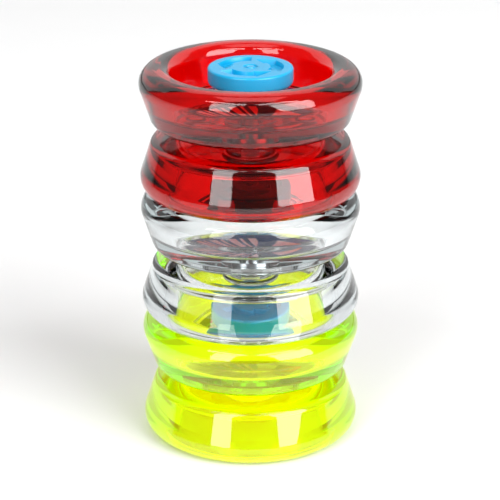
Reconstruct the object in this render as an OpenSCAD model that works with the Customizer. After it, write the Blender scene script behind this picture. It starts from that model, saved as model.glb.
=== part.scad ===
// Stack of three diabolo spools of hand size. Every spool is two transparent cups on one bolt,
// with a ball bearing in the string gap and a dial in the upper cup that screws along the bolt
// to set the gap. Millimetres, +Z up, origin at the centre of the lowest rim.

/* [Cups] */
// Diameter of the cups at their widest
rim_d = 58; // [48:0.5:72]
// Width of one spool from rim to rim
spool_w = 33.8; // [30:0.2:44]
// How far the corner beside the string gap lies inside the rim, on the radius
flare = 2.6; // [1:0.1:5]
// How much each cup face falls back from the gap towards the neck corner
face_relief = 0.1; // [0:0.05:0.6]
// Radius of the corner beside the string gap
neck_round = 2.1; // [1:0.1:3]
// Outer radius of the round lip
lip_round = 4.4; // [3:0.1:5.2]
// Width of the flat land on top of the lip
lip_land = 1; // [0.6:0.1:2]
// Inner radius of the round lip
mouth_round = 3.2; // [1.5:0.1:4]
// Depth of the cup from rim to floor
cup_depth = 10.2; // [8.4:0.1:12.2]
// How much narrower the cup is at its floor than at its mouth, on the radius
cup_draft = 0.9; // [0.2:0.1:2]
// Radius between the cup wall and its floor
floor_round = 1.5; // [0.5:0.1:3]

/* [Hub] */
// Plastic around the corners of the hex pocket, in the boss that stands on each cup floor
boss_wall = 2.5; // [1.4:0.1:4]
// Diameter of the axle bolt
axle_d = 4; // [3:0.1:5]
// Width across the flats of the bolt head and of the dial's insert
hex_flats = 7; // [6:0.1:8]
// Thickness of the bolt head
head_t = 2.8; // [2:0.1:3.4]
// Plastic between the bolt head and the spacer pocket
head_web = 2.2; // [1.5:0.1:3]
// Thickness of a spacer's flange
flange_t = 2; // [1:0.1:2.4]
// How far a spacer's flange stands out beyond its post, on the radius
flange_lip = 1.4; // [0.8:0.1:1.8]
// Thickness of the cap over the bolt head
cap_t = 1.2; // [0.8:0.1:2]
// How far the cap stands out beyond the boss, on the radius
cap_lip = 0.9; // [0.4:0.1:1.6]

/* [Bearing] */
// Bore of the ball bearing
bearing_bore = 6.35; // [6:0.05:6.8]
// Outside diameter of the ball bearing
bearing_od = 12.7; // [12.2:0.1:13.6]
// Width of the ball bearing
bearing_w = 4.7; // [4.2:0.05:5.2]
// How deep each side of the bearing sits in its cup, which sets the width of the string gap
bearing_seat = 0.25; // [0.1:0.05:0.6]
// Number of balls
ball_count = 8; // [6:1:8]
// Diameter of a ball
ball_d = 1.6; // [1.3:0.05:1.7]
// How deep the ball groove is cut into each race
groove_depth = 0.2; // [0.1:0.05:0.3]
// Thickness of a bearing shield
shield_t = 0.2; // [0.15:0.05:0.3]

/* [Response pads] */
// Plastic between the bearing's recess and a pad ring
pad_wall = 1.5; // [0.6:0.1:2.4]
// Radial width of a pad ring
pad_w = 2.5; // [1.5:0.1:3.4]
// Thickness of a pad ring
pad_t = 1.2; // [0.8:0.1:1.6]

/* [Dial] */
// Diameter of the dial
dial_d = 22.2; // [18:0.2:27]
// Height of the dial
dial_h = 4.7; // [4:0.1:5.4]
// How far the dial's top lies below the rim
dial_below_rim = 0.2; // [0.1:0.1:1]
// Rounding of the dial's upper edge
dial_round = 0.6; // [0.3:0.1:1]
// Rounding of the dial's lower edge
dial_heel = 1.4; // [0.3:0.1:2]
// Depth of the three arrow-shaped finger recesses
arrow_depth = 1.3; // [0.6:0.1:1.5]
// Width of the dial's flat margin outside the arrows
arrow_margin = 1.9; // [1.4:0.1:2.6]
// Width of an arrow's band
arrow_w = 3.2; // [2:0.1:3.6]
// How far an arrow's barbs stand out on each side of its band
arrow_barb = 0.7; // [0.4:0.1:1.2]
// Angle that an arrow's band covers
arrow_sweep = 72; // [40:1:75]
// Angle that an arrow's head covers
arrow_tip = 38; // [20:1:42]

/* [Label] */
// Thickness of the printed ring on the upper cup's floor
label_t = 0.2; // [0.1:0.05:0.4]

/* [Fits] */
// Radial clearance of pieces that turn or slide on each other
running_clearance = 0.05; // [0.02:0.01:0.1]
// Clearance around pieces that are seated in a pocket
seat_clearance = 0.03; // [0.01:0.01:0.06]
// Air between the rims of two stacked spools
stack_clearance = 0.05; // [0.02:0.01:0.2]

/* [Hidden] */
SPOOLS = ["lime", "clear", "red"];
TINTS = [[0.80, 0.95, 0.05], [0.85, 0.88, 0.90], [0.85, 0.02, 0.04]];
PIECES = ["lower_cup", "upper_cup", "axle_bolt", "lower_spacer", "upper_spacer", "inner_race",
          "outer_race", "bearing_balls", "ball_cage", "bearing_shields", "lower_pad", "upper_pad",
          "label", "thrust_washer", "dial", "dial_insert", "bolt_cap"];

$fn = 96;
arc_steps = 14;
overlap = 0.5; // how far a cutting shape runs past the face that it cuts

half_w = spool_w / 2;
rim_r = rim_d / 2;
face_z = bearing_w / 2 - bearing_seat; // half of the string gap
neck_z = face_z + face_relief;
crest_r = rim_r - lip_round;
mouth_r = crest_r - lip_land - mouth_round;
floor_r = mouth_r - cup_draft;
floor_z = half_w - cup_depth;
boss_r = (hex_flats / 2 + seat_clearance) / cos(30) + boss_wall;
boss_round = 0.6;

// bearing
race_end_play = 0.1; // air at each end of the outer race
race_side_air = 0.35; // air around the outer race
recess_z = bearing_w / 2 + race_end_play;
recess_r = bearing_od / 2 + race_side_air;
ball_r = ball_d / 2;
pitch_r = (bearing_bore + bearing_od) / 4;
race_land = (bearing_od - bearing_bore) / 4 - ball_r + groove_depth; // a race beside its groove
race_gap = (bearing_od - bearing_bore) / 2 - 2 * race_land; // between the lands of the races
cage_crown = 0.6; // plastic of the cage beyond the balls
cage_base_z = 0.3;
shield_inset = 0.2; // how far a shield lies inside the end of the bearing
shield_step = 0.25; // width of the step in the outer race that a shield sits on
shield_air = 0.1; // air between a shield and the inner race
shield_z = bearing_w / 2 - shield_inset - shield_t;

// pads
pad_in_r = recess_r + pad_wall;
pad_out_r = pad_in_r + pad_w;
pad_sink = 0.05; // how far a pad lies below the gap face
pad_floor_z = face_z + pad_t;

// axle, spacers and bolt head
axle_r = axle_d / 2;
axle_bore_r = axle_r + running_clearance;
flange_r = bearing_bore / 2 + flange_lip;
flange_z = bearing_w / 2 + 0.01; // a touch clear of the inner race
flange_top_z = flange_z + flange_t;
post_gap = 0.05; // half of the gap between the two spacer posts
head_sink = 0.4; // how far the bolt head lies below the end of its boss
boss_rise = 1; // least height of the bolt's boss above the cup floor
head_z = max(flange_top_z + head_web, floor_z + boss_rise - head_sink - head_t);
head_end_z = head_z + head_t;
lower_boss_z = head_end_z + head_sink;
plug_t = 0.3; // how far the cap's plug reaches into the hex pocket
plug_air = 0.5; // air around the plug

// dial
dial_top_z = half_w - dial_below_rim;
dial_z = dial_top_z - dial_h;
washer_t = 0.2;
washer_inset = 0.1; // how far the washer lies inside the flat end of its boss
boss_top_z = dial_z - washer_t - running_clearance;
insert_sink = 0.2; // how far the insert lies above the dial's underside
insert_z = dial_z + insert_sink;
arrow_floor = 0.3; // plastic between an arrow's floor and the insert
arrow_start = 88; // angle at which the first arrow's tail stands
insert_top_z = dial_top_z - arrow_depth - arrow_floor;
axle_end_z = insert_top_z - 0.2;
eye_r = [1.1, 1.9]; // inner and outer radius of the shallow ring at the dial's centre
eye_depth = 0.4;

// label
label_inset = 0.4; // gap between the label and the boss
label_edge = 0.2; // gap between the label and the round of the cup's floor

stack_pitch = spool_w + stack_clearance;

// Points on an arc of radius r round centre, from angle from to angle to.
function arc(centre, r, from, to, steps = arc_steps) =
    [for (i = [0:steps])
        let (a = from + (to - from) * i / steps) centre + r * [cos(a), sin(a)]];

// Direction of the outward normal of the line that touches two circles on their outer side.
function tangent_normal(c1, r1, c2, r2) =
    let (d = c2 - c1) atan2(d[1], d[0]) - acos((r1 - r2) / norm(d));

neck_centre = [rim_r - flare - neck_round, neck_z + neck_round];
lip_centre = [crest_r, half_w - lip_round];
wall_normal = tangent_normal(neck_centre, neck_round, lip_centre, lip_round);

// Half section of a cup without its hub: gap face, neck corner, wall, lip, cup wall and floor.
cup_section = concat(
    [[0, face_z], [pad_out_r, face_z]],
    arc(neck_centre, neck_round, -90, wall_normal),
    arc(lip_centre, lip_round, wall_normal, 90),
    arc([mouth_r + mouth_round, half_w - mouth_round], mouth_round, 90, 180),
    arc([floor_r - floor_round, floor_z + floor_round], floor_round, 0, -90),
    [[0, floor_z]]);

module ring(r_in, r_out, z0, z1) {
    rotate_extrude()
        translate([r_in, z0]) square([r_out - r_in, z1 - z0]);
}

module rod(r, z0, z1) {
    translate([0, 0, z0]) cylinder(r = r, h = z1 - z0);
}

module hex_prism(flats, z0, z1) {
    translate([0, 0, z0]) cylinder(d = flats / cos(30), h = z1 - z0, $fn = 6);
}

// A cup with its boss, open side up, bored for the spacer, the bearing, the pad and the axle.
module bored_cup(boss_z) {
    difference() {
        union() {
            rotate_extrude() polygon(cup_section);
            rotate_extrude()
                polygon(concat([[0, floor_z - overlap], [boss_r, floor_z - overlap]],
                               arc([boss_r - boss_round, boss_z - boss_round], boss_round, 0, 90),
                               [[0, boss_z]]));
        }
        rod(recess_r, face_z - overlap, recess_z);
        rod(flange_r + seat_clearance, face_z - overlap, flange_top_z + seat_clearance);
        rod(axle_r + 2 * running_clearance, face_z, boss_z + overlap);
        ring(pad_in_r - seat_clearance, pad_out_r + seat_clearance,
             face_z - overlap, pad_floor_z);
    }
}

module upper_cup(tint) {
    color(tint, 0.45) bored_cup(boss_top_z);
}

module lower_cup(tint) {
    color(tint, 0.45) mirror([0, 0, 1]) difference() {
        bored_cup(lower_boss_z);
        hex_prism(hex_flats + 2 * seat_clearance, head_z - seat_clearance, lower_boss_z + overlap);
    }
}

module axle_bolt() {
    color("silver") {
        rod(axle_r, -head_z - overlap, axle_end_z);
        hex_prism(hex_flats, -head_end_z, -head_z);
    }
}

module spacer() {
    color("gainsboro") difference() {
        union() {
            rod(bearing_bore / 2 - running_clearance / 2, post_gap, flange_z + overlap);
            rod(flange_r, flange_z, flange_top_z);
        }
        rod(axle_bore_r, 0, flange_top_z + overlap);
    }
}

// Groove that the balls run in, cut from both races.
module ball_groove() {
    rotate_extrude() translate([pitch_r, 0]) circle(r = ball_r + running_clearance);
}

module inner_race() {
    color("lightsteelblue") difference() {
        ring(bearing_bore / 2, bearing_bore / 2 + race_land, -bearing_w / 2, bearing_w / 2);
        ball_groove();
    }
}

module outer_race() {
    color("lightsteelblue") difference() {
        ring(bearing_od / 2 - race_land, bearing_od / 2, -bearing_w / 2, bearing_w / 2);
        ball_groove();
        for (side = [0, 1]) mirror([0, 0, side])
            rod(bearing_od / 2 - race_land + shield_step, shield_z, bearing_w / 2 + overlap);
    }
}

module bearing_balls() {
    color("white") for (i = [0:ball_count - 1])
        rotate([0, 0, i * 360 / ball_count]) translate([pitch_r, 0, 0]) sphere(r = ball_r);
}

module ball_cage() {
    cage_half = race_gap / 2 - 2 * running_clearance;
    color("goldenrod") difference() {
        ring(pitch_r - cage_half, pitch_r + cage_half, cage_base_z, ball_r + cage_crown);
        for (i = [0:ball_count - 1])
            rotate([0, 0, i * 360 / ball_count]) translate([pitch_r, 0, 0])
                sphere(r = ball_r + running_clearance);
    }
}

module bearing_shields() {
    color("silver") for (side = [0, 1]) mirror([0, 0, side])
        ring(bearing_bore / 2 + race_land + shield_air,
             bearing_od / 2 - race_land + shield_step - seat_clearance,
             shield_z, shield_z + shield_t);
}

module pad() {
    color("whitesmoke") ring(pad_in_r, pad_out_r, face_z + pad_sink, pad_floor_z);
}

module label() {
    color("steelblue") ring(boss_r + label_inset, floor_r - floor_round - label_edge,
                            floor_z, floor_z + label_t);
}

module thrust_washer() {
    color("white") ring(axle_r + 3 * running_clearance, boss_r - boss_round - washer_inset,
                        boss_top_z, boss_top_z + washer_t);
}

// Outline of one curved arrow, as a recess for a finger: a band with a head at its leading end.
arrow_out_r = dial_d / 2 - arrow_margin - arrow_barb;
arrow_in_r = arrow_out_r - arrow_w;
function polar(r, a) = r * [cos(a), sin(a)];
arrow_outline = concat(
    arc([0, 0], arrow_out_r, 0, arrow_sweep),
    [polar(arrow_out_r + arrow_barb, arrow_sweep),
     polar((arrow_in_r + arrow_out_r) / 2, arrow_sweep + arrow_tip),
     polar(arrow_in_r - arrow_barb, arrow_sweep)],
    arc([0, 0], arrow_in_r, arrow_sweep, 0));

module dial() {
    r = dial_d / 2;
    color("deepskyblue") difference() {
        rotate_extrude() polygon(concat(
            [[0, dial_z]],
            arc([r - dial_heel, dial_z + dial_heel], dial_heel, -90, 0),
            arc([r - dial_round, dial_top_z - dial_round], dial_round, 0, 90),
            [[0, dial_top_z]]));
        for (i = [0:2]) rotate([0, 0, arrow_start + 120 * i])
            translate([0, 0, dial_top_z - arrow_depth])
                linear_extrude(arrow_depth + overlap) polygon(arrow_outline);
        ring(eye_r[0], eye_r[1], dial_top_z - eye_depth, dial_top_z + overlap);
        hex_prism(hex_flats + 2 * seat_clearance, dial_z - overlap, insert_top_z);
    }
}

module dial_insert() {
    color("gold") difference() {
        hex_prism(hex_flats, insert_z, insert_top_z - seat_clearance);
        rod(axle_bore_r, insert_z - overlap, insert_top_z + overlap);
    }
}

module bolt_cap(tint) {
    plug_r = hex_flats / 2 - plug_air;
    color(tint, 0.45) rotate_extrude() mirror([0, 1]) polygon(concat(
        [[0, lower_boss_z - plug_t], [plug_r, lower_boss_z - plug_t],
         [plug_r, lower_boss_z]],
        arc([boss_r + cap_lip - cap_t / 2, lower_boss_z + cap_t / 2], cap_t / 2, -90, 90),
        [[0, lower_boss_z + cap_t]]));
}

// One spool, with its middle plane at z = 0.
module piece(name, tint) {
    if (name == "lower_cup") lower_cup(tint);
    if (name == "upper_cup") upper_cup(tint);
    if (name == "axle_bolt") axle_bolt();
    if (name == "lower_spacer") mirror([0, 0, 1]) spacer();
    if (name == "upper_spacer") spacer();
    if (name == "inner_race") inner_race();
    if (name == "outer_race") outer_race();
    if (name == "bearing_balls") bearing_balls();
    if (name == "ball_cage") ball_cage();
    if (name == "bearing_shields") bearing_shields();
    if (name == "lower_pad") mirror([0, 0, 1]) pad();
    if (name == "upper_pad") pad();
    if (name == "label") label();
    if (name == "thrust_washer") thrust_washer();
    if (name == "dial") dial();
    if (name == "dial_insert") dial_insert();
    if (name == "bolt_cap") bolt_cap(tint);
}

for (i = [0:len(SPOOLS) - 1], name = PIECES)
    translate([0, 0, half_w + i * stack_pitch]) piece(name, TINTS[i]);
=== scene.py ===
"""Looks of a stack of three see-through diabolo spools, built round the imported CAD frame.

Every spool is two transparent cups on one bolt, with a ball bearing in the string gap, a printed
ring on the floor of the upper cup and a blue dial that sets the gap. All lengths are in metres.
"""

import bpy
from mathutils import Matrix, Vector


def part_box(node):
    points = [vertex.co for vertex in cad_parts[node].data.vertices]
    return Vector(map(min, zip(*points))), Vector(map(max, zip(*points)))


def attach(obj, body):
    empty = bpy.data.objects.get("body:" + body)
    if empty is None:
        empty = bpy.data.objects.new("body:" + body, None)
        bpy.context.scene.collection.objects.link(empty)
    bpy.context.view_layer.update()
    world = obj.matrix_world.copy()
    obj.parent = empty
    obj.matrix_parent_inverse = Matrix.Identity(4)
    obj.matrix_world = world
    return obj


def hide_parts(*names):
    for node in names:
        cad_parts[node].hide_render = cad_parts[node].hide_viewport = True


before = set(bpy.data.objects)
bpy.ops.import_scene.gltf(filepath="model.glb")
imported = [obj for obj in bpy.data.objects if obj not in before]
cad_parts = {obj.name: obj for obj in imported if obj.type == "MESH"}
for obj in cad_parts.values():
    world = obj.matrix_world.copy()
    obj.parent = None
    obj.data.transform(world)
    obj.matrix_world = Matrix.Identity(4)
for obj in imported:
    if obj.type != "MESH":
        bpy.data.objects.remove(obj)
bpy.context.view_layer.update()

import logging
import math
from dataclasses import dataclass
from enum import Enum

import bpy
import numpy as np
from mathutils import Matrix, Vector

MM = 0.001
LOG = logging.getLogger("diabolo")

Point = tuple[float, float]
Place = tuple[float, float, float]
Colour = tuple[float, float, float]
Socket = bpy.types.NodeSocket
Signal = Socket | float
Paint = Socket | Colour

WHITE: Colour = (1.0, 1.0, 1.0)


# ---------------- node helpers


@dataclass(frozen=True)
class Span:
    """A stretch of a value, from low to high, whose ends fade over fade to each side."""

    low: float
    high: float
    fade: float


class Nodes:
    """A short hand for building a shader node tree."""

    def __init__(self, tree: bpy.types.NodeTree) -> None:
        """Wraps tree, which belongs to a material or a node group."""
        self.tree = tree

    def add(self, kind: str, inputs: dict | None = None, **settings) -> bpy.types.Node:
        """Adds one node.

        Args:
            kind: The node's type, such as "ShaderNodeMath".
            inputs: Socket name or index to a constant, or to the output socket that feeds it.
            **settings: The node's own properties, such as operation="ADD".

        Returns:
            The new node.
        """
        node = self.tree.nodes.new(kind)
        for name, value in settings.items():
            setattr(node, name, value)
        for name, value in (inputs or {}).items():
            if isinstance(value, Socket):
                self.link(value, node.inputs[name])
            else:
                node.inputs[name].default_value = value
        return node

    def link(self, source: Socket, target: Socket) -> None:
        """Lets source feed target."""
        self.tree.links.new(source, target)

    def place(self) -> Socket:
        """Returns the shaded point's place on its object, in metres."""
        return self.add("ShaderNodeTexCoord").outputs["Object"]

    def math(self, operation: str, a: Signal, b: Signal = 0.0, c: Signal = 0.0) -> Socket:
        """Returns the output of a math node that takes constants or sockets."""
        return self.add("ShaderNodeMath", {0: a, 1: b, 2: c}, operation=operation).outputs[0]

    def length(self, x: Socket, y: Socket) -> Socket:
        """Returns the length of the flat vector x, y."""
        squares = self.math("ADD", self.math("MULTIPLY", x, x), self.math("MULTIPLY", y, y))
        return self.math("SQRT", squares)

    def step(self, value: Socket, low: float, high: float) -> Socket:
        """Returns a smooth rise from 0 at low to 1 at high."""
        reach = {"Value": value, "From Min": low, "From Max": high}
        return self.add("ShaderNodeMapRange", reach, interpolation_type="SMOOTHSTEP").outputs[0]

    def band(self, value: Socket, span: Span) -> Socket:
        """Returns a mask that is 1 where value is within span, with soft ends."""
        rise = self.step(value, span.low - span.fade, span.low + span.fade)
        fall = self.step(value, span.high - span.fade, span.high + span.fade)
        inputs = {0: rise, 1: fall}
        return self.add("ShaderNodeMath", inputs, operation="SUBTRACT", use_clamp=True).outputs[0]

    def mix(self, mask: Signal, a: Paint, b: Paint) -> Socket:
        """Mixes two colours.

        Args:
            mask: Where the second colour shows, from 0 to 1.
            a: The first colour.
            b: The second colour.

        Returns:
            The mixed colour.
        """
        node = self.add("ShaderNodeMix", data_type="RGBA")
        for socket, value in ((node.inputs[0], mask), (node.inputs[6], a), (node.inputs[7], b)):
            if isinstance(value, Socket):
                self.link(value, socket)
            elif isinstance(value, tuple):
                socket.default_value = (*value, 1.0)
            else:
                socket.default_value = value
        return node.outputs[2]

    def scaled(self, colour: Paint, factor: Socket) -> Socket:
        """Returns colour times factor."""
        inputs = {0: colour, "Scale": factor}
        return self.add("ShaderNodeVectorMath", inputs, operation="SCALE").outputs[0]

    def bump(self, strength: float, depth: float, height: Socket) -> Socket:
        """Returns the normal of a surface that height has embossed."""
        inputs = {"Strength": strength, "Distance": depth, "Height": height}
        return self.add("ShaderNodeBump", inputs).outputs[0]

    def group(self, tree: bpy.types.NodeTree, **inputs: float) -> bpy.types.Node:
        """Returns a node that places a node group with its own values."""
        return self.add("ShaderNodeGroup", inputs, node_tree=tree)


def new_group(name: str, inputs: dict[str, float], outputs: dict[str, str]) -> bpy.types.NodeTree:
    """Makes an empty shader node group with named sockets.

    Args:
        name: The group's name.
        inputs: Name to default value of each float input.
        outputs: Name to socket type of each output.

    Returns:
        The group's node tree.
    """
    tree = bpy.data.node_groups.new(name, "ShaderNodeTree")
    for key, default in inputs.items():
        socket = tree.interface.new_socket(key, in_out="INPUT", socket_type="NodeSocketFloat")
        socket.default_value = default
    for key, kind in outputs.items():
        tree.interface.new_socket(key, in_out="OUTPUT", socket_type=kind)
    return tree


class Effects:
    """The node groups that several finishes share, each built once."""

    HAZE_RANGE = (0.42, 0.75)
    SCUFF_RANGE = (0.62, 0.80)
    SCUFF_FINENESS = 14.0
    SCUFF_STRETCH = (1.0, 0.12, 1.0)
    GRAIN_FINENESS = 22.0

    def __init__(self) -> None:
        """Builds every group."""
        self.handling = self._handling()
        self.moulding = self._moulding()
        self.turning = self._turning()

    def _handling(self) -> bpy.types.NodeTree:
        """Builds finger haze and fine scuffs, as two masks.

        Returns:
            The group's node tree.
        """
        tree = new_group(
            "handling_wear",
            {"Scale": 60.0, "Amount": 0.5},
            {"Haze": "NodeSocketFloat", "Scuff": "NodeSocketFloat"},
        )
        n = Nodes(tree)
        scale, amount = n.add("NodeGroupInput").outputs[:2]
        place = n.place()
        cloud = {"Vector": place, "Scale": scale, "Detail": 4.0, "Roughness": 0.6}
        haze = n.step(n.add("ShaderNodeTexNoise", cloud).outputs[0], *self.HAZE_RANGE)
        drawn = n.add("ShaderNodeMapping", {"Vector": place, "Scale": self.SCUFF_STRETCH})
        fine = n.math("MULTIPLY", scale, self.SCUFF_FINENESS)
        lines = {"Vector": drawn.outputs[0], "Scale": fine, "Detail": 2.0}
        scuff = n.step(n.add("ShaderNodeTexNoise", lines).outputs[0], *self.SCUFF_RANGE)
        out = n.add("NodeGroupOutput")
        n.link(n.math("MULTIPLY", haze, amount), out.inputs["Haze"])
        n.link(n.math("MULTIPLY", scuff, amount), out.inputs["Scuff"])
        return tree

    def _moulding(self) -> bpy.types.NodeTree:
        """Builds the faint cloudiness and skin of moulded plastic.

        Returns:
            The group's node tree.
        """
        tree = new_group(
            "moulded_skin",
            {"Scale": 120.0, "Variation": 0.1},
            {"Shade": "NodeSocketFloat", "Height": "NodeSocketFloat"},
        )
        n = Nodes(tree)
        scale, variation = n.add("NodeGroupInput").outputs[:2]
        place = n.place()
        cloud = n.add("ShaderNodeTexNoise", {"Vector": place, "Scale": scale, "Detail": 3.0})
        fine = n.math("MULTIPLY", scale, self.GRAIN_FINENESS)
        grain = n.add("ShaderNodeTexNoise", {"Vector": place, "Scale": fine})
        centred = n.math("SUBTRACT", cloud.outputs[0], 0.5)
        out = n.add("NodeGroupOutput")
        n.link(n.math("MULTIPLY_ADD", centred, variation, 1.0), out.inputs["Shade"])
        n.link(grain.outputs[0], out.inputs["Height"])
        return tree

    def _turning(self) -> bpy.types.NodeTree:
        """Builds the fine rings that a lathe or a grinder leaves round the spools' axis.

        Returns:
            The group's node tree.
        """
        tree = new_group(
            "lathe_rings",
            {"Pitch": 0.00012, "Contrast": 0.3},
            {"Shade": "NodeSocketFloat", "Height": "NodeSocketFloat"},
        )
        n = Nodes(tree)
        pitch, contrast = n.add("NodeGroupInput").outputs[:2]
        x, y, z = n.add("ShaderNodeSeparateXYZ", {0: n.place()}).outputs
        phase = n.math("DIVIDE", n.math("ADD", n.length(x, y), z), pitch)
        rings = n.add("ShaderNodeTexNoise", {"W": phase, "Scale": 1.0}, noise_dimensions="1D")
        centred = n.math("SUBTRACT", rings.outputs[0], 0.5)
        out = n.add("NodeGroupOutput")
        n.link(n.math("MULTIPLY_ADD", centred, contrast, 1.0), out.inputs["Shade"])
        n.link(rings.outputs[0], out.inputs["Height"])
        return tree


def blank_material(name: str) -> tuple[bpy.types.Material, Nodes, bpy.types.Node, bpy.types.Node]:
    """Makes a material that holds only a Principled BSDF and its output.

    Args:
        name: The material's name.

    Returns:
        The material, its node helper, the Principled node and the output node.
    """
    material = bpy.data.materials.new(name)
    material.use_nodes = True
    material.node_tree.nodes.clear()
    n = Nodes(material.node_tree)
    shader = n.add("ShaderNodeBsdfPrincipled")
    out = n.add("ShaderNodeOutputMaterial", {"Surface": shader.outputs[0]})
    return material, n, shader, out


# ---------------- finishes


@dataclass(frozen=True)
class TintedPlastic:
    """Transparent moulded polycarbonate, coloured through its thickness.

    Attributes:
        name: The material's name.
        per_metre: How strongly each of red, green and blue is absorbed, per metre of plastic.
        density: The common absorption density that per_metre is a share of.
        painted_glow: Painted glow, a constant light given off at each face. It stands partly for the
            dye's fluorescence and partly brightens the cups where the stack shades them.
        ior: Index of refraction.
        polish: Roughness where it is clean.
        haze: Roughness that handling adds.
        cloud: Share of the moulded cloudiness in its colour.
        scuffs: Strength of the scuffs.
        scuff_depth: Depth of a scuff.
    """

    name: str
    per_metre: Colour
    density: float
    painted_glow: Colour = (0.0, 0.0, 0.0)
    ior: float = 1.585
    polish: float = 0.004
    haze: float = 0.02
    cloud: float = 0.35
    scuffs: float = 0.02
    scuff_depth: float = 0.02 * MM

    def build(self, effects: Effects) -> bpy.types.Material:
        """Makes the material.

        Args:
            effects: The shared node groups.

        Returns:
            The material.
        """
        material, n, shader, out = blank_material(self.name)
        wear = n.group(effects.handling, Scale=90.0, Amount=0.5)
        skin = n.group(effects.moulding, Scale=70.0, Variation=0.03)
        shader.inputs["Metallic"].default_value = 0.0
        shader.inputs["Transmission Weight"].default_value = 1.0
        shader.inputs["IOR"].default_value = self.ior
        # Painted glow: constant emission on every face. It is partly the dye's fluorescence and partly
        # light painted in where the stack shades the cups.
        if max(self.painted_glow) > 0:
            shader.inputs["Emission Color"].default_value = (*self.painted_glow, 1.0)
            shader.inputs["Emission Strength"].default_value = 1.0
        cloudy = n.add("ShaderNodeCombineColor", {0: skin.outputs["Shade"], 1: 1.0, 2: 1.0})
        n.link(n.mix(self.cloud, WHITE, cloudy.outputs[0]), shader.inputs["Base Color"])
        rough = n.math("MULTIPLY_ADD", wear.outputs["Haze"], self.haze, self.polish)
        n.link(rough, shader.inputs["Roughness"])
        scuffed = n.bump(self.scuffs, self.scuff_depth, wear.outputs["Scuff"])
        n.link(scuffed, shader.inputs["Normal"])
        kept = (*(1.0 - share / self.density for share in self.per_metre), 1.0)
        dye = n.add("ShaderNodeVolumeAbsorption", {"Color": kept, "Density": self.density})
        n.link(dye.outputs[0], out.inputs["Volume"])
        return material


@dataclass(frozen=True)
class SolidPlastic:
    """Opaque moulded plastic or rubber.

    Attributes:
        name: The material's name.
        colour: Linear base colour.
        roughness: Roughness where it is clean.
        haze: Roughness that handling adds.
        variation: How far the colour clouds.
        emboss: How strongly the skin tilts the surface.
        grain: Depth of the moulded skin.
    """

    name: str
    colour: Colour
    roughness: float
    haze: float = 0.12
    variation: float = 0.12
    emboss: float = 0.25
    grain: float = 0.02 * MM

    def build(self, effects: Effects) -> bpy.types.Material:
        """Makes the material.

        Args:
            effects: The shared node groups.

        Returns:
            The material.
        """
        material, n, shader, _ = blank_material(self.name)
        skin = n.group(effects.moulding, Scale=160.0, Variation=self.variation)
        wear = n.group(effects.handling, Scale=120.0, Amount=0.6)
        n.link(n.scaled(self.colour, skin.outputs["Shade"]), shader.inputs["Base Color"])
        rough = n.math("MULTIPLY_ADD", wear.outputs["Haze"], self.haze, self.roughness)
        n.link(rough, shader.inputs["Roughness"])
        grained = n.bump(self.emboss, self.grain, skin.outputs["Height"])
        n.link(grained, shader.inputs["Normal"])
        return material


@dataclass(frozen=True)
class TurnedMetal:
    """Metal that a lathe or a grinder has finished.

    Attributes:
        name: The material's name.
        colour: Linear base colour.
        roughness: Roughness where it is clean.
        pitch: Distance between the turning rings.
        contrast: How much the rings darken and lighten.
        haze: Roughness that handling adds.
        emboss: How strongly the rings tilt the surface.
        ring_depth: Depth of a ring.
    """

    name: str
    colour: Colour
    roughness: float
    pitch: float = 0.12 * MM
    contrast: float = 0.25
    haze: float = 0.15
    emboss: float = 0.2
    ring_depth: float = 0.01 * MM

    def build(self, effects: Effects) -> bpy.types.Material:
        """Makes the material.

        Args:
            effects: The shared node groups.

        Returns:
            The material.
        """
        material, n, shader, _ = blank_material(self.name)
        rings = n.group(effects.turning, Pitch=self.pitch, Contrast=self.contrast)
        wear = n.group(effects.handling, Scale=200.0, Amount=0.7)
        n.link(n.scaled(self.colour, rings.outputs["Shade"]), shader.inputs["Base Color"])
        shader.inputs["Metallic"].default_value = 1.0
        rough = n.math("MULTIPLY_ADD", wear.outputs["Haze"], self.haze, self.roughness)
        n.link(rough, shader.inputs["Roughness"])
        ringed = n.bump(self.emboss, self.ring_depth, rings.outputs["Height"])
        n.link(ringed, shader.inputs["Normal"])
        return material


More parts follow.
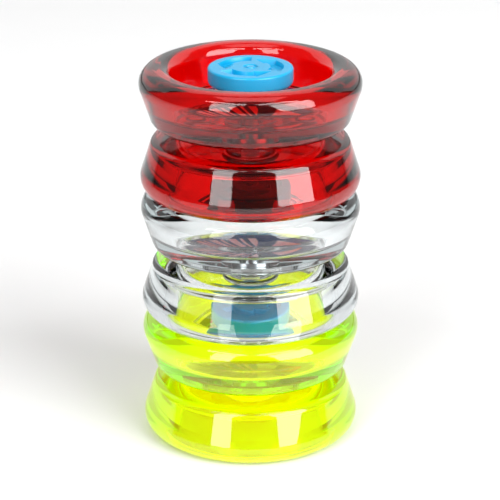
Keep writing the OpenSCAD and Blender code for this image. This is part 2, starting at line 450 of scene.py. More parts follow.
@dataclass(frozen=True)
class PrintedFilm:
    """A clear film ring with an inked band, rows of slanted stripes, two swooshes and two badges.

    The print repeats after half a turn. Spans called turn are shares of one repeat.

    Attributes:
        name: The material's name.
        ink: Linear colour of the band.
        pale: Linear colour of the stripes.
        accent: Linear colour of the swooshes' tails and of half of each badge.
        badge: Linear colour of the other half of each badge.
        ground: How solid the ink is between the stripes, from 0 to 1.
        roughness: Roughness of the film.
        alpha: How solid the clear film and the full ink are.
        edge: Softness of the print's edges.
        band: Inner and outer radius of the band.
        band_fade: Softness of the band's edges.
        ink_turn: Where the band is inked.
        stripe_turn: Where the stripes stand.
        stripe_reach: From the middle of the band to a stripe's end.
        stripe_pitch: Distance between neighbouring pairs of stripes.
        wide_stripe: The wide stripe's share of a pitch.
        narrow_stripe: The narrow stripe's share of a pitch.
        slant: How far a stripe leans along the band for each metre across it.
        swoosh_turn: Where a swoosh lies.
        taper_turn: Where a swoosh tapers.
        swoosh_half: Half of a swoosh's width, at its start and at its tail.
        badge_place: Distance of the badges from the axis.
        badge_border: Radii of a badge's border.
        badge_core: Radii between which a badge's middle fades out.
        badge_split: Softness of the line between a badge's halves.
    """

    name: str
    ink: Colour = (0.012, 0.030, 0.16)
    pale: Colour = (0.90, 0.72, 0.72)
    accent: Colour = (0.85, 0.16, 0.03)
    badge: Colour = (0.90, 0.78, 0.74)
    ground: float = 1.0
    roughness: float = 0.25
    alpha: Point = (0.02, 0.95)
    edge: float = 0.07 * MM
    band: Point = (10.6 * MM, 17.0 * MM)
    band_fade: float = 0.1 * MM
    ink_turn: Span = Span(0.10, 0.90, 0.004)
    stripe_turn: Span = Span(0.16, 0.54, 0.003)
    stripe_reach: float = 2.2 * MM
    stripe_pitch: float = 4.4 * MM
    wide_stripe: Span = Span(0.06, 0.46, 0.02)
    narrow_stripe: Span = Span(0.64, 0.80, 0.02)
    slant: float = 0.55
    swoosh_turn: Span = Span(0.64, 0.85, 0.01)
    taper_turn: Point = (0.60, 0.86)
    swoosh_half: Point = (1.9 * MM, 0.4 * MM)
    badge_place: float = 14.0 * MM
    badge_border: Span = Span(1.9 * MM, 2.7 * MM, 0.07 * MM)
    badge_core: Point = (1.85 * MM, 1.95 * MM)
    badge_split: float = 0.2 * MM

    def build(self, effects: Effects) -> bpy.types.Material:
        """Makes the material.

        Args:
            effects: The shared node groups.

        Returns:
            The material.
        """
        material, n, shader, _ = blank_material(self.name)
        x, y, _ = n.add("ShaderNodeSeparateXYZ", {0: n.place()}).outputs
        centre_r = sum(self.band) / 2
        half_w = (self.band[1] - self.band[0]) / 2
        offset = n.math("SUBTRACT", n.length(x, y), centre_r)
        across = n.math("ABSOLUTE", offset)
        turn = n.math("FRACT", n.math("DIVIDE", n.math("ARCTAN2", y, x), math.pi))
        along = n.math("MULTIPLY_ADD", offset, self.slant, n.math("MULTIPLY", turn, math.pi * centre_r))
        ring = n.step(across, half_w + self.band_fade, half_w - self.band_fade)
        ring = n.math("MULTIPLY", ring, n.band(turn, self.ink_turn))
        stripes = n.math("MULTIPLY", self._stripes(n, along, across), n.band(turn, self.stripe_turn))
        swoosh, tail = self._swoosh(n, turn, across)
        border, middle, lower = self._badges(n, x, y)
        colour = n.mix(stripes, self.ink, self.pale)
        colour = n.mix(swoosh, colour, n.mix(tail, self.pale, self.accent))
        colour = n.mix(middle, colour, n.mix(lower, self.badge, self.accent))
        colour = n.mix(border, colour, self.ink)
        skin = n.group(effects.moulding, Scale=900.0, Variation=0.2)
        n.link(n.scaled(colour, skin.outputs["Shade"]), shader.inputs["Base Color"])
        shader.inputs["Roughness"].default_value = self.roughness
        inked = n.math("MAXIMUM", stripes, n.math("MULTIPLY", swoosh, ring))
        inked = n.math("MAXIMUM", n.math("MULTIPLY", ring, self.ground), inked)
        inked = n.math("MAXIMUM", inked, n.math("MAXIMUM", border, middle))
        clear, full = self.alpha
        n.link(n.math("MULTIPLY_ADD", inked, full - clear, clear), shader.inputs["Alpha"])
        return material

    def _stripes(self, n: Nodes, along: Socket, across: Socket) -> Socket:
        """Makes a row of slanted stripes, a wide and a narrow one in each pitch.

        Args:
            n: The material's nodes.
            along: Distance along the band, slanted.
            across: Distance from the band's middle.

        Returns:
            The stripes' mask.
        """
        share = n.math("FRACT", n.math("DIVIDE", along, self.stripe_pitch))
        stripes = n.math("MAXIMUM", n.band(share, self.wide_stripe), n.band(share, self.narrow_stripe))
        ends = n.step(across, self.stripe_reach + self.edge, self.stripe_reach - self.edge)
        return n.math("MULTIPLY", stripes, ends)

    def _swoosh(self, n: Nodes, turn: Socket, across: Socket) -> tuple[Socket, Socket]:
        """Makes a band that tapers along the ring.

        Args:
            n: The material's nodes.
            turn: Share of a repeat.
            across: Distance from the band's middle.

        Returns:
            The swoosh's mask, and how far along its taper each point is.
        """
        start, tail = self.swoosh_half
        run = n.step(turn, *self.taper_turn)
        width = n.math("MULTIPLY_ADD", run, tail - start, start)
        slim = n.step(n.math("SUBTRACT", across, width), self.edge, -self.edge)
        return n.math("MULTIPLY", slim, n.band(turn, self.swoosh_turn)), run

    def _badges(self, n: Nodes, x: Socket, y: Socket) -> tuple[Socket, Socket, Socket]:
        """Makes two round badges, at the left and the right.

        Args:
            n: The material's nodes.
            x: Place to the right of the axis.
            y: Place behind the axis.

        Returns:
            The masks of the borders, of the middles and of their lower halves.
        """
        aside = n.math("SUBTRACT", n.math("ABSOLUTE", x), self.badge_place)
        distance = n.length(aside, y)
        middle = n.step(distance, *self.badge_core[::-1])
        lower = n.step(y, self.badge_split, -self.badge_split)
        return n.band(distance, self.badge_border), middle, lower


# ---------------- lathe sections


FEWEST_STEPS = 3


@dataclass(frozen=True)
class Corner:
    """One corner of a lathe section.

    Attributes:
        r: Distance from the axis.
        z: Height.
        rounding: Radius that rounds the corner, or 0 for a sharp one.
        hexed: True where the section turns round a hexagon whose flats are r from the axis.
    """

    r: float
    z: float
    rounding: float = 0.0
    hexed: bool = False


def round_corner(before: Corner, corner: Corner, after: Corner, chord: float) -> list[Corner]:
    """Replaces a corner by points on its rounding.

    Args:
        before: The corner before it.
        corner: The corner to round.
        after: The corner after it.
        chord: Longest step along the rounding.

    Returns:
        The points from the first tangent point to the second.
    """
    if corner.rounding <= 0:
        return [corner]
    here = Vector((corner.r, corner.z))
    back = (Vector((before.r, before.z)) - here).normalized()
    ahead = (Vector((after.r, after.z)) - here).normalized()
    half = back.angle(ahead) / 2
    centre = here + (back + ahead).normalized() * (corner.rounding / math.sin(half))
    start = here + back * (corner.rounding / math.tan(half)) - centre
    end = here + ahead * (corner.rounding / math.tan(half)) - centre
    sweep = start.angle_signed(end)
    steps = max(FEWEST_STEPS, math.ceil(abs(sweep) * corner.rounding / chord))
    points = []
    for i in range(steps + 1):
        a = math.atan2(start.y, start.x) - sweep * i / steps
        at = centre + corner.rounding * Vector((math.cos(a), math.sin(a)))
        points.append(Corner(at.x, at.y, 0.0, corner.hexed))
    return points


def trace(section: list[Corner], chord: float) -> list[Corner]:
    """Rounds every corner of a closed section.

    Args:
        section: The section's corners, in order.
        chord: Longest step along a rounding.

    Returns:
        The section's points, in order.
    """
    count = len(section)
    points: list[Corner] = []
    for i, corner in enumerate(section):
        points += round_corner(section[i - 1], corner, section[(i + 1) % count], chord)
    return points


def hex_stretch(angle: float) -> float:
    """Returns how much further a hexagon's side is at angle than at the middle of its flat."""
    third = math.pi / 3
    return 1.0 / math.cos(angle % third - third / 2)


def lathe(name: str, section: list[Corner], chord: float, segments: int) -> bpy.types.Object:
    """Turns a closed section round the Z axis into a closed mesh.

    Args:
        name: The new object's name.
        section: The section's corners, in order.
        chord: Longest step along a rounding.
        segments: Number of steps round the axis, a multiple of six.

    Returns:
        The new object.
    """
    points = trace(section, chord)
    rows = len(points)
    turn = 2 * math.pi / segments
    vertices = []
    for j in range(segments):
        a = j * turn
        for p in points:
            r = p.r * hex_stretch(a) if p.hexed else p.r
            vertices.append((r * math.cos(a), r * math.sin(a), p.z))
    faces = []
    for j in range(segments):
        k = (j + 1) % segments
        for i in range(rows):
            m = (i + 1) % rows
            faces.append((j * rows + i, k * rows + i, k * rows + m, j * rows + m))
    return solid(name, vertices, faces)


def solid(
    name: str, vertices: list[Place], faces: list[tuple[int, ...]], crease: float = 30.0
) -> bpy.types.Object:
    """Makes a smooth-shaded object with outward normals and sharp creases.

    Args:
        name: The new object's name.
        vertices: Vertex positions.
        faces: Vertex indices of each face.
        crease: Angle in degrees above which an edge stays sharp.

    Returns:
        The new object, linked to the scene.
    """
    mesh = bpy.data.meshes.new(name)
    mesh.from_pydata(vertices, [], faces)
    mesh.validate()
    if signed_volume(mesh) < 0:
        mesh.flip_normals()
    mesh.shade_smooth()
    mesh.set_sharp_from_angle(angle=math.radians(crease))
    piece = bpy.data.objects.new(name, mesh)
    bpy.context.scene.collection.objects.link(piece)
    weighted = piece.modifiers.new("even_normals", "WEIGHTED_NORMAL")
    weighted.keep_sharp = True
    return piece


def signed_volume(mesh: bpy.types.Mesh) -> float:
    """Measures a closed mesh.

    Args:
        mesh: The mesh.

    Returns:
        Its volume, which is negative when its normals point inwards.
    """
    total = 0.0
    for polygon in mesh.polygons:
        corners = [mesh.vertices[i].co for i in polygon.vertices]
        for i in range(1, len(corners) - 1):
            total += corners[0].dot(corners[i].cross(corners[i + 1]))
    return total / 6


def finish_piece(
    piece: bpy.types.Object, material: bpy.types.Material, body: str, slot: str, *nodes: str
) -> None:
    """Dresses a new piece, lets it ride on its body and stand for its CAD nodes.

    Args:
        piece: The new piece.
        material: Its material.
        body: The body that it rides on.
        slot: The record's slot that it belongs to; not used.
        *nodes: The CAD nodes that it stands for.
    """
    piece.data.materials.clear()
    piece.data.materials.append(material)
    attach(piece, body)
    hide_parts(*nodes)
    LOG.info("%s rides on %s with %d vertices", piece.name, body, len(piece.data.vertices))


# ---------------- the spool


class Tint(Enum):
    """The spools, from the lowest to the highest."""

    LIME = "lime"
    CLEAR = "clear"
    RED = "red"


class Half(Enum):
    """The two cups of a spool, with the direction that each opens in."""

    LOWER = -1
    UPPER = 1


@dataclass
class CupShape:
    """The section of a cup, with the spool's middle plane at z = 0.

    Attributes:
        half_w: From the middle plane to the rim.
        rim_r: Widest radius.
        flare: How much wider the lip is than the neck.
        face_z: Height of the face at the string gap.
        face_relief: How much higher the face is at the neck.
        neck_round: Rounding of the neck.
        lip_round: Rounding of the lip.
        lip_land: Flat ring on the lip.
        mouth_round: Rounding of the cup's mouth.
        cup_depth: From the rim to the floor.
        cup_draft: How much narrower the cup is at its floor.
        floor_round: Rounding between wall and floor.
        recess_r: Radius of the bearing's recess.
        recess_z: Height of the recess's ceiling.
        pad_in_r: Inner radius of the pad's groove.
        pad_out_r: Outer radius of the pad's groove.
        pad_floor_z: Height of the groove's ceiling.
        flange_r: Radius of the spacer's seat.
        flange_top_z: Height of the seat's ceiling.
        bore_r: Radius of the bolt's hole.
        boss_r: Radius of the boss in the middle of the floor.
        boss_round: Rounding of the boss.
        hex_flats: Width of the pocket for the bolt's head.
        head_z: Height of the pocket's floor.
        edge: Rounding of the small edges.
        chord: Longest step along a rounding.
        segments: Number of steps round the axis.
    """

    half_w: float
    rim_r: float
    flare: float = 2.6 * MM
    face_z: float = 2.1 * MM
    face_relief: float = 0.1 * MM
    neck_round: float = 2.1 * MM
    lip_round: float = 4.4 * MM
    lip_land: float = 1.0 * MM
    mouth_round: float = 3.2 * MM
    cup_depth: float = 10.2 * MM
    cup_draft: float = 0.9 * MM
    floor_round: float = 1.5 * MM
    recess_r: float = 6.7 * MM
    recess_z: float = 2.45 * MM
    pad_in_r: float = 8.2 * MM
    pad_out_r: float = 10.7 * MM
    pad_floor_z: float = 3.3 * MM
    flange_r: float = 4.605 * MM
    flange_top_z: float = 4.39 * MM
    bore_r: float = 2.1 * MM
    boss_r: float = 6.576 * MM
    boss_round: float = 0.6 * MM
    hex_flats: float = 7.06 * MM
    head_z: float = 6.53 * MM
    edge: float = 0.15 * MM
    chord: float = 0.22 * MM
    segments: int = 192

    def wall_line(self) -> tuple[Vector, float]:
        """Finds the straight stretch of the outer wall, which touches the neck and the lip.

        Returns:
            Its normal, and its distance from the section's origin.
        """
        neck = Vector((self.rim_r - self.flare - self.neck_round, self.neck_z + self.neck_round))
        lip = Vector((self.rim_r - self.lip_round, self.half_w - self.lip_round))
        apart = lip - neck
        angle = math.atan2(apart.y, apart.x)
        angle -= math.acos((self.neck_round - self.lip_round) / apart.length)
        normal = Vector((math.cos(angle), math.sin(angle)))
        return normal, normal.dot(neck) + self.neck_round

    @property
    def neck_z(self) -> float:
        """Height of the neck corner's lowest point."""
        return self.face_z + self.face_relief

    @property
    def floor_z(self) -> float:
        """Height of the cup's floor."""
        return self.half_w - self.cup_depth

    def wall_r(self, z: float) -> float:
        """Returns the radius of the outer wall's line at height z."""
        normal, distance = self.wall_line()
        return (distance - normal.y * z) / normal.x

    def face_side(self) -> list[Corner]:
        """Lists the corners from the bore, over the gap face and the lip, to the cup's floor.

        Returns:
            The corners, in order.
        """
        mouth_r = self.rim_r - self.lip_round - self.lip_land - self.mouth_round
        slope = self.cup_draft / (self.cup_depth - self.mouth_round - self.floor_round)
        return [
            Corner(self.bore_r, self.flange_top_z),
            Corner(self.flange_r, self.flange_top_z),
            Corner(self.flange_r, self.recess_z, self.edge),
            Corner(self.recess_r, self.recess_z),
            Corner(self.recess_r, self.face_z, self.edge),
            Corner(self.pad_in_r, self.face_z, self.edge),
            Corner(self.pad_in_r, self.pad_floor_z, self.edge),
            Corner(self.pad_out_r, self.pad_floor_z, self.edge),
            Corner(self.pad_out_r, self.face_z, self.edge),
            Corner(self.wall_r(self.neck_z), self.neck_z, self.neck_round),
            Corner(self.wall_r(self.half_w), self.half_w, self.lip_round),
            Corner(mouth_r + slope * self.mouth_round, self.half_w, self.mouth_round),
            Corner(
                mouth_r - self.cup_draft - slope * self.floor_round, self.floor_z, self.floor_round
            ),
            Corner(self.boss_r, self.floor_z, 2 * self.edge),
        ]

    def upper_section(self, boss_top: float) -> list[Corner]:
        """Returns the closed section of an upper cup, whose boss ends at boss_top."""
        return self.face_side() + [
            Corner(self.boss_r, boss_top, self.boss_round),
            Corner(self.bore_r, boss_top, self.edge),
        ]

    def lower_section(self, boss_top: float) -> list[Corner]:
        """Returns the closed section of a lower cup, with its hex pocket, before it is mirrored."""
        flat = self.hex_flats / 2
        return self.face_side() + [
            Corner(self.boss_r, boss_top, self.boss_round),
            Corner(flat, boss_top, 0.0, True),
            Corner(flat, self.head_z, 0.0, True),
            Corner(self.bore_r, self.head_z),
        ]


@dataclass
class Dial:
    """The knob that sets the string gap, with three curved arrows sunk in its top.

    Attributes:
        radius: Outer radius.
        low: Height of its underside.
        high: Height of its top.
        top_round: Rounding of its top edge.
        heel_round: Rounding of its bottom edge.
        arrow_depth: How deep the arrows are sunk.
        arrow_margin: From the knob's side to the barbs.
        arrow_w: Width of an arrow's band.
        arrow_barb: How far the head stands out on each side of the band.
        arrow_start: Angle of the first arrow's tail.
        arrow_sweep: Angle that the band covers.
        arrow_tip: Angle that the head covers.
        arrow_count: Number of arrows.
        eye: Radii of the small ring in the middle.
        eye_depth: How deep that ring is sunk.
        soft: Softness of the sunk edges.
        step: Grid step of the top.
        segments: Number of steps round the axis.
        pocket_r: Radius of the pocket for the insert.
        pocket_depth: Depth of that pocket.
        crease: Angle in degrees above which an edge stays sharp.
        arc_points: Number of points along each side of an arrow's band.
    """

    radius: float
    low: float
    high: float
    top_round: float = 0.6 * MM
    heel_round: float = 1.4 * MM
    arrow_depth: float = 1.3 * MM
    arrow_margin: float = 1.9 * MM
    arrow_w: float = 3.2 * MM
    arrow_barb: float = 0.7 * MM
    arrow_start: float = math.radians(88)
    arrow_sweep: float = math.radians(72)
    arrow_tip: float = math.radians(38)
    arrow_count: int = 3
    eye: Point = (1.1 * MM, 1.9 * MM)
    eye_depth: float = 0.4 * MM
    soft: float = 0.14 * MM
    step: float = 0.14 * MM
    segments: int = 360
    pocket_r: float = 4.15 * MM
    pocket_depth: float = 2.4 * MM
    crease: float = 40.0
    arc_points: int = 16

    def arrow_outline(self) -> np.ndarray:
        """Draws an arrow whose tail is at angle 0.

        Returns:
            The outline's points.
        """
        outer = self.radius - self.arrow_margin - self.arrow_barb
        inner = outer - self.arrow_w
        sweep = np.linspace(0, self.arrow_sweep, self.arc_points)
        band_out = [(outer, a) for a in sweep]
        head = [
            (outer + self.arrow_barb, self.arrow_sweep),
            ((inner + outer) / 2, self.arrow_sweep + self.arrow_tip),
            (inner - self.arrow_barb, self.arrow_sweep),
        ]
        band_in = [(inner, a) for a in sweep[::-1]]
        polar = np.array(band_out + head + band_in)
        return polar[:, :1] * np.stack([np.cos(polar[:, 1]), np.sin(polar[:, 1])], axis=1)

    def sunk(self, x: np.ndarray, y: np.ndarray) -> np.ndarray:
        """Returns how deep the top is sunk at each point.

        Args:
            x: First coordinates.
            y: Second coordinates.

        Returns:
            Depths in metres, with soft edges.
        """
        outline = self.arrow_outline()
        distance = np.full(x.shape, 1.0)
        for i in range(self.arrow_count):
            a = self.arrow_start + 2 * math.pi * i / self.arrow_count
            turned_x = x * math.cos(a) + y * math.sin(a)
            turned_y = y * math.cos(a) - x * math.sin(a)
            distance = np.minimum(distance, outline_distance(outline, turned_x, turned_y))
        r = np.hypot(x, y)
        ring = np.abs(r - sum(self.eye) / 2) - (self.eye[1] - self.eye[0]) / 2
        arrows = self.arrow_depth * soft_step(-distance / self.soft)
        return np.maximum(arrows, self.eye_depth * soft_step(-ring / self.soft))

    def build(self, name: str) -> bpy.types.Object:
        """Builds the knob as one closed mesh.

        Args:
            name: The new object's name.

        Returns:
            The new object.
        """
        flat_r = self.radius - self.top_round
        top = [Corner(r, self.high) for r in np.arange(self.step, flat_r, self.step)]
        side = trace(
            [
                Corner(0.0, self.high),
                Corner(self.radius, self.high, self.top_round),
                Corner(self.radius, self.low, self.heel_round),
                Corner(self.pocket_r, self.low, self.soft),
                Corner(self.pocket_r, self.low + self.pocket_depth),
                Corner(0.0, self.low + self.pocket_depth),
            ],
            self.step,
        )[1:-1]
        points = top + side
        rows = len(points)
        angles = np.arange(self.segments) * 2 * math.pi / self.segments
        radii = np.array([p.r for p in points])
        x = np.cos(angles)[:, None] * radii[None, :]
        y = np.sin(angles)[:, None] * radii[None, :]
        z = np.tile(np.array([p.z for p in points]), (self.segments, 1))
        z[:, : len(top)] -= self.sunk(x[:, : len(top)], y[:, : len(top)])
        vertices = np.stack([x, y, z], axis=2).reshape(-1, 3).tolist()
        vertices += [(0.0, 0.0, self.high), (0.0, 0.0, self.low + self.pocket_depth)]
        crown, root = len(vertices) - 2, len(vertices) - 1
        faces = []
        for j in range(self.segments):
            k = (j + 1) % self.segments
            faces.append((crown, k * rows, j * rows))
            faces.append((root, j * rows + rows - 1, k * rows + rows - 1))
            for i in range(rows - 1):
                faces.append((j * rows + i, k * rows + i, k * rows + i + 1, j * rows + i + 1))
        return solid(name, vertices, faces, self.crease)


def soft_step(t: np.ndarray) -> np.ndarray:
    """Returns a smooth rise from 0 at -1 to 1 at 1."""
    t = np.clip(t * 0.5 + 0.5, 0, 1)
    return t * t * (3 - 2 * t)


def outline_distance(outline: np.ndarray, x: np.ndarray, y: np.ndarray) -> np.ndarray:
    """Returns each point's distance to a closed outline, negative inside.

    Args:
        outline: The outline's points.
        x: First coordinates.
        y: Second coordinates.

    Returns:
        Signed distances.
    """
    nearest = np.full(x.shape, 1.0)
    inside = np.zeros(x.shape, bool)
    for a, b in zip(outline, np.roll(outline, -1, axis=0)):
        dx, dy = b - a
        t = np.clip(((x - a[0]) * dx + (y - a[1]) * dy) / (dx * dx + dy * dy), 0, 1)
        nearest = np.minimum(nearest, np.hypot(x - a[0] - t * dx, y - a[1] - t * dy))
        crosses = (a[1] > y) != (b[1] > y)
        with np.errstate(divide="ignore", invalid="ignore"):
            at = a[0] + (y - a[1]) * dx / dy
        inside ^= crosses & (x < at)
    return np.where(inside, -nearest, nearest)


@dataclass
class Spool:
    """One spool: two cups, the printed ring, the dial and the hardware inside.

    Attributes:
        tint: Which spool it is.
        plastic: The material of its cups.
        trade: The other materials, by name.
        rim_r: Widest radius of the cups.
        dial_r: Radius of the dial.
        plug_t: How far the bolt cap's plug reaches into the hex pocket.
    """

    tint: Tint
    plastic: bpy.types.Material
    trade: dict[str, bpy.types.Material]
    rim_r: float = 29.0 * MM
    dial_r: float = 11.1 * MM
    plug_t: float = 0.3 * MM

    def node(self, piece: str) -> str:
        """Returns the CAD name of one of this spool's pieces."""
        return f"{self.tint.value}_{piece}"

    @property
    def middle(self) -> float:
        """Height of the spool's middle plane."""
        low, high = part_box(self.node("outer_race"))
        return (low.z + high.z) / 2

    def shape(self) -> CupShape:
        """Returns the cup's section, sized from the CAD cups."""
        _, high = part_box(self.node("upper_cup"))
        return CupShape(half_w=high.z - self.middle, rim_r=self.rim_r)

    def build_cup(self, half: Half) -> None:
        """Builds one cup and puts it in the place of its CAD node.

        Args:
            half: Which cup it is.
        """
        shape = self.shape()
        if half is Half.UPPER:
            name, body = self.node("upper_cup"), self.node("upper")
            washer_low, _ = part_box(self.node("thrust_washer"))
            section = shape.upper_section(washer_low.z - self.middle)
        else:
            name, body = self.node("lower_cup"), self.node("lower")
            _, cap_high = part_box(self.node("bolt_cap"))
            section = shape.lower_section(self.middle - cap_high.z + self.plug_t)
        cup = lathe(f"{name}_clear_wall", section, shape.chord, shape.segments)
        cup.data.transform(Matrix.Diagonal((1, 1, half.value, 1)))
        cup.data.transform(Matrix.Translation((0, 0, self.middle)))
        if half is Half.LOWER:
            cup.data.flip_normals()
        finish_piece(cup, self.plastic, body, f"{self.tint.value}_plastic", name)

    def build_dial(self) -> None:
        """Builds the knob and puts it in the place of its CAD node."""
        low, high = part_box(self.node("dial"))
        dial = Dial(radius=self.dial_r, low=low.z, high=high.z).build(self.node("dial_knob"))
        body = self.node("dial_turn")
        finish_piece(dial, self.trade["dial_plastic"], body, "dial_plastic", self.node("dial"))

    def dress(self, piece: str, material: bpy.types.Material) -> None:
        """Gives a CAD node that stays its material.

        Args:
            piece: The piece that the node is.
            material: The material.
        """
        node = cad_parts[self.node(piece)]
        node.data.materials.clear()
        node.data.materials.append(material)
        LOG.info("%s gets %s", node.name, material.name)

    def build(self) -> None:
        """Builds the whole spool."""
        self.build_cup(Half.LOWER)
        self.build_cup(Half.UPPER)
        self.build_dial()
        self.dress("bolt_cap", self.plastic)
        self.dress("label", self.trade[LABELS[self.tint]])
        for piece, finish in HARDWARE.items():
            self.dress(piece, self.trade[finish])


LABELS = {Tint.LIME: "lime_label_film", Tint.CLEAR: "label_film", Tint.RED: "label_film"}

HARDWARE = {
    "axle_bolt": "bolt_steel",
    "lower_spacer": "spacer_aluminium",
    "upper_spacer": "spacer_aluminium",
    "inner_race": "race_steel",
    "outer_race": "race_steel",
    "bearing_balls": "ball_steel",
    "ball_cage": "cage_nylon",
    "bearing_shields": "shield_steel",
    "lower_pad": "pad_silicone",
    "upper_pad": "pad_silicone",
    "thrust_washer": "washer_nylon",
    "dial_insert": "insert_brass",
}


# ---------------- studio


@dataclass(frozen=True)
class SoftBox:
    """A soft rectangular lamp that faces the stack.

    Attributes:
        name: The lamp's name.
        azimuth: Degrees to the right of the camera.
        elevation: Degrees above the floor.
        distance: Metres from the stack.
        width: Metres across.
        height: Metres up.
        power: Watts.
    """

    name: str
    azimuth: float
    elevation: float
    distance: float
    width: float
    height: float
    power: float

    def build(self, aim: Vector) -> bpy.types.Object:
        """Makes the lamp.

        Args:
            aim: The point that it faces.

        Returns:
            The lamp's object.
        """
        lamp = bpy.data.lights.new(self.name, "AREA")
        lamp.shape = "RECTANGLE"
        lamp.size = self.width
        lamp.size_y = self.height
        lamp.energy = self.power
        holder = bpy.data.objects.new(self.name, lamp)
        bpy.context.scene.collection.objects.link(holder)
        a, e = math.radians(self.azimuth), math.radians(self.elevation)
        outward = Vector((math.sin(a) * math.cos(e), -math.cos(a) * math.cos(e), math.sin(e)))
        holder.location = aim + outward * self.distance
        holder.rotation_euler = outward.to_track_quat("Z", "Y").to_euler()
        return holder


@dataclass(frozen=True)
class Studio:
    """The pale floor, the soft light and the camera.

    Attributes:
        floor_size: Side of the floor.
        near_shaded_grey: Grey of the floor at the stack. It is darker than further out as painted
            shade, which darkens what the cups reflect.
        far_grey: Shade of the floor further out.
        floor_fade: Distances from the axis between which the floor turns from the painted shade to the
            far grey.
        floor_scale: Fineness of the floor's grain.
        floor_grain: How far the grain lightens the floor.
        floor_rough: Roughness of the floor.
        floor_shine: How much the floor reflects.
        room_grey: Shade of the room.
        room_light: Strength of the room's own light.
        lens: Focal length of the camera, in millimetres.
        sensor: Width of the camera's sensor, in millimetres.
        shift: How far the view is shifted sideways.
        near: Closest distance that the camera sees.
        camera_elevation: Degrees above the floor.
        camera_distance: From the aim to the camera.
        aim_height: Height that the camera aims at.
        lamp_height: Height that the lamps aim at.
    """

    floor_size: float = 8.0
    near_shaded_grey: float = 0.80
    far_grey: float = 0.88
    floor_fade: Point = (0.05, 0.30)
    floor_scale: float = 400.0
    floor_grain: float = 0.01
    floor_rough: float = 0.9
    floor_shine: float = 0.1
    room_grey: float = 0.9
    room_light: float = 0.12
    lens: float = 144.4
    sensor: float = 36.0
    shift: float = -0.001
    near: float = 0.01
    camera_elevation: float = 21.45
    camera_distance: float = 0.5358
    aim_height: float = 0.0504
    lamp_height: float = 0.05

    def build_floor(self) -> None:
        """Lays the pale floor, darker near the stack as painted shade."""
        half = self.floor_size / 2
        mesh = bpy.data.meshes.new("floor")
        corners = [(-half, -half, 0), (half, -half, 0), (half, half, 0), (-half, half, 0)]
        mesh.from_pydata(corners, [], [(0, 1, 2, 3)])
        floor = bpy.data.objects.new("floor", mesh)
        bpy.context.scene.collection.objects.link(floor)
        material, n, shader, _ = blank_material("pale_paper")
        reach = n.add("ShaderNodeVectorMath", {0: n.place()}, operation="LENGTH")
        fade = n.step(reach.outputs["Value"], *self.floor_fade)
        paper = n.add("ShaderNodeTexNoise", {"Scale": self.floor_scale, "Detail": 2.0})
        grey = n.math("MULTIPLY_ADD", paper.outputs[0], self.floor_grain, self.near_shaded_grey)
        # Painted shade: the floor is darker near the stack, so that the cups reflect less light there.
        grey = n.math("MULTIPLY_ADD", fade, self.far_grey - self.near_shaded_grey, grey)
        colour = n.add("ShaderNodeCombineColor", {0: grey, 1: grey, 2: grey})
        n.link(colour.outputs[0], shader.inputs["Base Color"])
        shader.inputs["Roughness"].default_value = self.floor_rough
        shader.inputs["Specular IOR Level"].default_value = self.floor_shine
        floor.data.materials.append(material)

    def build_room(self) -> None:
        """Fills the room with even pale light."""
        world = bpy.data.worlds.new("studio")
        bpy.context.scene.world = world
        world.use_nodes = True
        background = world.node_tree.nodes["Background"]
        background.inputs["Color"].default_value = (*[self.room_grey] * 3, 1.0)
        background.inputs["Strength"].default_value = self.room_light

    def build_camera(self) -> None:
        """Sets the camera in front of the stack, a little above it."""
        data = bpy.data.cameras.new("camera")
        data.lens = self.lens
        data.sensor_width = self.sensor
        data.clip_start = self.near
        data.shift_x = self.shift
        camera = bpy.data.objects.new("camera", data)
        bpy.context.scene.collection.objects.link(camera)
        e = math.radians(self.camera_elevation)
        back = Vector((0, -math.cos(e), math.sin(e)))
        camera.location = Vector((0, 0, self.aim_height)) + back * self.camera_distance
        camera.rotation_euler = back.to_track_quat("Z", "Y").to_euler()
        bpy.context.scene.camera = camera

    def build(self) -> None:
        """Builds the whole studio."""
        self.build_camera()
        self.build_floor()
        self.build_room()
        aim = Vector((0, 0, self.lamp_height))
        for lamp in SOFT_BOXES:
            lamp.build(aim)
        bpy.context.scene.view_settings.view_transform = "Standard"


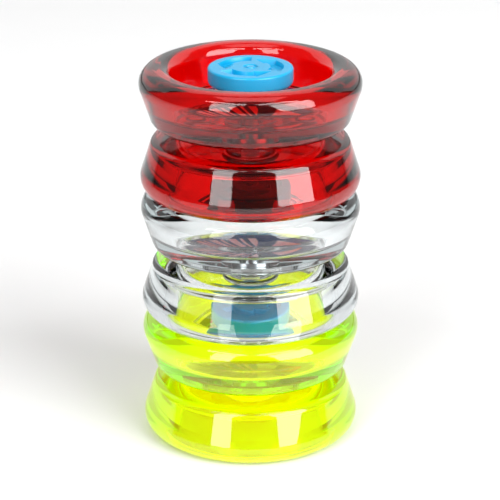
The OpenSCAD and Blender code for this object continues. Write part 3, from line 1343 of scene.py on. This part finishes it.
SOFT_BOXES = (
    SoftBox("left_box", -31, 27, 1.2, 0.46, 1.0, 9),
    SoftBox("right_box", 48, 27, 1.2, 0.85, 1.0, 20),
    SoftBox("left_strip", -35, 57, 1.2, 0.72, 0.16, 2.6),
    SoftBox("right_strip", 38, 57, 1.2, 0.72, 0.16, 2.6),
    SoftBox("back_box", 180, 32, 1.3, 4.4, 1.5, 17),
    SoftBox("top_box", 0, 90, 1.4, 0.8, 0.8, 2.5),
)

FINISHES = (
    SolidPlastic("dial_plastic", (0.0, 0.34, 0.62), 0.32),
    SolidPlastic("pad_silicone", (0.62, 0.60, 0.58), 0.6),
    SolidPlastic("cage_nylon", (0.55, 0.47, 0.32), 0.5),
    SolidPlastic("washer_nylon", (0.80, 0.80, 0.77), 0.5),
    TurnedMetal("bolt_steel", (0.46, 0.46, 0.48), 0.32),
    TurnedMetal("spacer_aluminium", (0.72, 0.73, 0.75), 0.3),
    TurnedMetal("race_steel", (0.60, 0.61, 0.63), 0.16, pitch=0.08 * MM, contrast=0.15),
    TurnedMetal("ball_steel", (0.72, 0.73, 0.75), 0.06, pitch=0.2 * MM, contrast=0.08),
    TurnedMetal("shield_steel", (0.55, 0.56, 0.58), 0.3),
    TurnedMetal("insert_brass", (0.62, 0.43, 0.15), 0.28),
    PrintedFilm("label_film"),
    PrintedFilm("lime_label_film", ink=(0.0, 0.12, 0.01), pale=(0.0, 0.24, 0.01), ground=0.4),
)

PLASTICS = {
    # The lime plastic gets a painted glow, a constant light at each face.
    Tint.LIME: TintedPlastic("lime_plastic", (46.0, 5.0, 900.0), 900.0, painted_glow=(0.20, 0.12, 0.0)),
    Tint.CLEAR: TintedPlastic("clear_plastic", (13.0, 10.5, 10.0), 26.0),
    Tint.RED: TintedPlastic("red_plastic", (30.0, 900.0, 900.0), 900.0),
}


def main() -> None:
    """Builds the studio and the three spools, in order."""
    logging.basicConfig(level=logging.INFO, format="%(name)s: %(message)s")
    Studio().build()
    effects = Effects()
    trade = {finish.name: finish.build(effects) for finish in FINISHES}
    for tint in Tint:
        Spool(tint, PLASTICS[tint].build(effects), trade).build()


if __name__ == "__main__":
    main()
